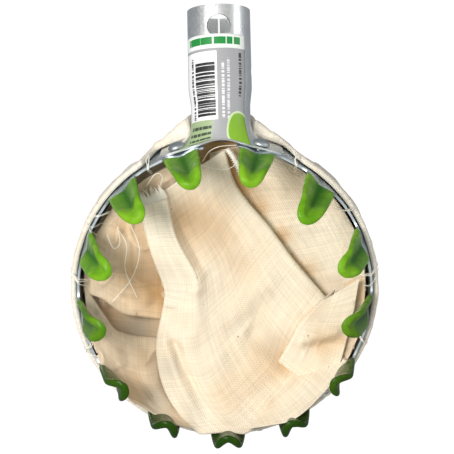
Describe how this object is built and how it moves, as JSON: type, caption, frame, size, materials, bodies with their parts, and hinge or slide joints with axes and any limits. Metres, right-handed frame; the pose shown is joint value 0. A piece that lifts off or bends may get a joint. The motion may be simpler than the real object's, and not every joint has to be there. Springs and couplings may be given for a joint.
{
  "type": "fruit picker basket",
  "caption": "Steel ring crown with plastic-dipped V prongs, a riveted pole socket and a cotton bag bunched up inside it, lying mouth up on the bag.",
  "frame": {"origin": "on the crown's axis, in the plane that the bunched bag rests on", "axes": "+Z along the crown's axis, up out of its mouth; +Y towards the pole socket; +X to the right as seen from above with the socket at the top"},
  "size_m": [0.1456, 0.206, 0.0889],
  "materials": {
    "galvanised_steel": "zinc-coated sheet, bright with a faint spangle",
    "rivet_steel": "bright zinc plate",
    "dipped_plastic": "glossy soft dip coat",
    "sticker_paper": "satin printed film",
    "calico": "unbleached plain weave",
    "sewing_thread": "soft cotton thread"
  },
  "bodies": {
    "root": {"crown_band": "galvanised_steel", "socket": "galvanised_steel", "rivet_left": "rivet_steel", "rivet_right": "rivet_steel", "label": "sticker_paper", "bag_hem": "calico", "bag_collar": "calico", "bag_skirt": "calico", "bag_bunch": "calico", "bag_seam": "sewing_thread", "whip_stitches": "sewing_thread", "prong_coat_01": "dipped_plastic", "prong_coat_02": "dipped_plastic", "prong_coat_03": "dipped_plastic", "prong_coat_04": "dipped_plastic", "prong_coat_05": "dipped_plastic", "prong_coat_06": "dipped_plastic", "prong_coat_07": "dipped_plastic", "prong_coat_08": "dipped_plastic", "prong_coat_09": "dipped_plastic", "prong_coat_10": "dipped_plastic", "prong_coat_11": "dipped_plastic", "prong_coat_12": "dipped_plastic", "prong_coat_13": "dipped_plastic"}
  },
  "joints": []
}
